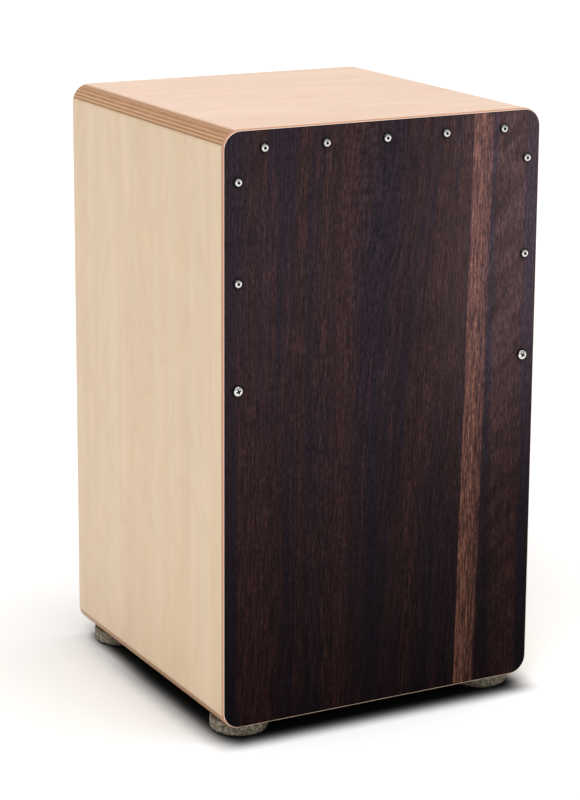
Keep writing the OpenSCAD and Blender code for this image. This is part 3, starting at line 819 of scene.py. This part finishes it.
def foot_outline(radius, height):
    """Closed cross-section of a foot as (out, up): its outer side, its top, its bore and its screw pocket."""
    outline = quarter((radius - FOOT_EDGE_R, FOOT_EDGE_R), FOOT_EDGE_R, -90)
    outline += quarter((radius - FOOT_TOP_R, height - FOOT_TOP_R), FOOT_TOP_R, 0, 3)
    outline += [(FOOT_BORE_R, height), (FOOT_BORE_R, POCKET_H)]
    outline += [(POCKET_R - POCKET_FLOOR_CHAMFER, POCKET_H), (POCKET_R, POCKET_H - POCKET_FLOOR_CHAMFER)]
    outline += [(POCKET_R, POCKET_MOUTH_CHAMFER), (POCKET_R + POCKET_MOUTH_CHAMFER, 0)]
    return walk(outline, FOOT_STEP)


def granule_push(place, out, up, height):
    """How far the granules push a foot's surface outwards there. The pocket and the top stay smooth."""
    lump = noise.noise(place * 700) + 0.6 * noise.noise(place * 1600)
    rough = min(1.0, max(0.0, (out - POCKET_R) / LUMPS_START)) * min(1.0, (height - up) / SMOOTH_TOP)
    return GRANULE_LUMP * (lump - 0.6) * rough


def foot(name, rubber):
    """Round foot with a screw pocket below, whose outer faces show the lumps of its granules."""
    low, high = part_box(name)
    centre = (low + high) / 2
    height = high.z
    rings = []
    for out, up in foot_outline((high.x - low.x) / 2, height):
        ring = []
        for i in range(FOOT_POINTS):
            angle = 2 * math.pi * i / FOOT_POINTS
            cos, sin = math.cos(angle), math.sin(angle)
            place = Vector((centre.x + out * cos, centre.y + out * sin, up))
            push = granule_push(place, out, up, height)
            moved = place + Vector((cos, sin, 0)) * push
            moved.z = max(0.0, up - push * 0.6) if up < FOOT_EDGE_R else up
            ring.append(tuple(moved))
        rings.append(ring)
    piece(name + "_granulate", [skin(rings, loop=True)], rubber, "box", name)


def coil(x, y, bottom, top, start_angle):
    """One snare strand: wire wound into a long close coil."""
    steps = (top - bottom) / COIL_PITCH * COIL_STEPS
    rise = (top - bottom - 2 * WIRE_R) / steps
    rings = []
    for i in range(int(steps) + 1):
        angle = 2 * math.pi * i / COIL_STEPS + start_angle
        out = Vector((math.cos(angle), math.sin(angle), 0))
        middle = Vector((x, y, bottom + WIRE_R + rise * i)) + (COIL_R - WIRE_R) * out
        rings.append([tuple(middle + WIRE_R * (c * out + s * Vector((0, 0, 1)))) for c, s in WIRE_SECTION])
    return skin(rings)


def snare_strands(side, wire):
    """One side's row of coiled snare wires."""
    name = side + "_snare_strands"
    low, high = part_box(name)
    pitch = (high.x - low.x - 2 * COIL_R) / (STRANDS - 1)
    y = (low.y + high.y) / 2
    coils = [coil(low.x + COIL_R + k * pitch, y, low.z, high.z, k * STRAND_TURN) for k in range(STRANDS)]
    piece(side + "_snare_coils", coils, wire, "snare_unit", name, sharp_deg=180)


def felt_route(low, high):
    """Middle line of a U-shaped strip as (y, z): in along its lower leg, up its back and out again."""
    half, bend = FELT_T / 2, FELT_BEND_R
    back, bottom, top = low.y + half, low.z + half, high.z - half
    leg_rows = int((high.y - (back + bend)) / MM)
    back_rows = int((high.z - low.z - FELT_T) / MM) - 3
    leg = [high.y - k * MM for k in range(leg_rows)]
    route = [(y, bottom) for y in leg]
    route += reversed(quarter((back + bend, bottom + bend), bend, 180))
    route += [(back, bottom + bend + k * MM) for k in range(1, back_rows)]
    route += reversed(quarter((back + bend, top - bend), bend, 90))
    route += [(y, top) for y in reversed(leg)]
    return route


def felt_section(width):
    """Outline of the strip's cross-section, its edges softly rounded."""
    half_w, half_t = width / 2, FELT_T / 2 - FELT_SOFT_EDGE
    steps = 20
    upper = [(half_w * (1 - 2 * k / steps), half_t) for k in range(1, steps)]
    lower = [(-a, -t) for a, t in upper]
    left = [(-half_w * 0.995, half_t * 0.5), (-half_w, 0), (-half_w * 0.995, -half_t * 0.5)]
    right = [(-a, -t) for a, t in left]
    return upper + left + lower + right


def bracket_felt(side, felt):
    """U-shaped felt strip in a rail bracket's slot."""
    name = side + "_bracket_felt"
    low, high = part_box(name)
    route = felt_route(low, high)
    rings = []
    for i, (y, z) in enumerate(route):
        before, after = route[max(0, i - 1)], route[min(len(route) - 1, i + 1)]
        tangent = Vector((0, after[0] - before[0], after[1] - before[1])).normalized()
        out = tangent.cross(Vector((1, 0, 0)))
        ring = []
        for across, through in felt_section(high.x - low.x):
            place = Vector(((low.x + high.x) / 2 + across, y, z)) + out * through
            fuzz = noise.noise(place * 900) * FELT_FUZZ
            ring.append(tuple(place + out * fuzz * (through / (FELT_T / 2))))
        rings.append(ring)
    piece(side + "_felt_strip", [skin(rings)], felt, "box", name)


# Camera, lights and floor


def look_along(yaw_deg, pitch_deg, roll_deg):
    """Rotation of a camera that looks along +Y turned right by yaw and down by pitch."""
    turn = Matrix.Rotation(-math.radians(yaw_deg), 4, "Z")
    tilt = Matrix.Rotation(math.radians(90 - pitch_deg), 4, "X")
    roll = Matrix.Rotation(-math.radians(roll_deg), 4, "Z")
    return turn @ tilt @ roll


def make_camera():
    """Camera at the photograph's viewing angle, a little above the seat and to the left of the plate."""
    camera = bpy.data.cameras.new("camera")
    camera.lens = CAMERA_LENS_MM
    camera.sensor_width = 36
    camera.shift_y = CAMERA_SHIFT_Y
    camera.clip_end = CAMERA_REACH
    holder = bpy.data.objects.new("camera", camera)
    turned = look_along(CAMERA_YAW_DEG, CAMERA_PITCH_DEG, CAMERA_ROLL_DEG)
    holder.matrix_world = Matrix.Translation(CAMERA_PLACE) @ turned
    bpy.context.scene.collection.objects.link(holder)
    bpy.context.scene.camera = holder


def sun(name, strength, angle_deg, azimuth_deg, elevation_deg):
    """Broad soft light from a direction: azimuth 0 is in front of the plate and 90 to its right."""
    light = bpy.data.lights.new(name, "SUN")
    light.energy = strength
    light.angle = math.radians(angle_deg)
    azimuth, elevation = math.radians(azimuth_deg), math.radians(elevation_deg)
    level = math.cos(elevation)
    back = Vector((math.sin(azimuth) * level, -math.cos(azimuth) * level, math.sin(elevation)))
    holder = bpy.data.objects.new(name, light)
    holder.rotation_mode = "QUATERNION"
    holder.rotation_quaternion = back.to_track_quat("Z", "Y")
    bpy.context.scene.collection.objects.link(holder)


def make_floor():
    mesh = bpy.data.meshes.new("studio_floor")
    corners = [(x * FLOOR_HALF, y * FLOOR_HALF, 0) for x, y in ((-1, -1), (1, -1), (1, 1), (-1, 1))]
    mesh.from_pydata(corners, [], [(0, 1, 2, 3)])
    mesh.materials.append(studio_floor())
    floor = bpy.data.objects.new("studio_floor", mesh)
    bpy.context.scene.collection.objects.link(floor)


def make_studio():
    """White ground under an even white sky, with two broad lights from above."""
    make_floor()
    world = bpy.data.worlds.new("studio")
    world.use_nodes = True
    sky = world.node_tree.nodes["Background"]
    sky.inputs["Color"].default_value = (1, 1, 1, 1)
    sky.inputs["Strength"].default_value = SKY_STRENGTH
    bpy.context.scene.world = world
    sun("key", strength=1.2, angle_deg=32, azimuth_deg=-50, elevation_deg=55)
    sun("overhead", strength=1.4, angle_deg=40, azimuth_deg=50, elevation_deg=72)
    bpy.context.scene.view_settings.view_transform = "Standard"


# Dressing the frame


def dress(nodes, material):
    for name in nodes:
        for slot in frame["nodes"][name].material_slots:
            slot.material = material


def dress_boards():
    seat = plywood("seat_board", Z, 1, grain=X, tone=SEAT_TONE, figure=0.1, streaking=0.25)
    base = plywood("base_board", Z, -1, grain=X, tone=SIDE_TONE, figure=0.15, streaking=0.5)
    dress(["seat_board"], seat)
    dress(["base_board"], base)
    for board, axis, side in (("left_side_wall", X, -1), ("right_side_wall", X, 1), ("rear_wall", Y, 1)):
        dress([board], plywood(board, axis, side, grain=Z, tone=SIDE_TONE, figure=0.15, streaking=0.4))
    dress(["playing_plate"], PlateLook().complete())


def dress_battens():
    ends = ("front", "rear")
    cross_pieces = [f"{end}_{level}_batten" for end in ends for level in ("top", "bottom")]
    uprights = [f"{end}_{side}_batten" for end in ends for side in SIDES]
    brackets = [side + "_rail_bracket" for side in SIDES]
    dress(cross_pieces + ["snare_rail", "snare_spacer"], beech("beech_cross", X))
    dress(uprights, beech("beech_upright", Z))
    dress(brackets, beech("beech_bracket", Y))


def dress_metal(steel):
    dress(["bracket_screws", "foot_washers", "foot_screws", "snare_plate_screws"], steel)
    dress([f"{side}_{plate}_plate" for side in SIDES for plate in ("snare", "tail")], rolled_steel())
    dress(["threaded_inserts"], turned_brass())


make_camera()
make_studio()
dress_boards()
dress_battens()
steel = plated_steel()
dress_metal(steel)
for number, screw in enumerate(SOCKET_SCREWS):
    socket_screw(screw, steel, SOCKET_SCREW_TURN * number)
cross_recess_screws(steel)
granulate = cork_rubber()
for foot_name in [f"{end}_{side}_foot" for end in ("front", "rear") for side in SIDES]:
    foot(foot_name, granulate)
wire, felt = drawn_wire(), wool_felt()
for side_name in SIDES:
    snare_strands(side_name, wire)
    bracket_felt(side_name, felt)
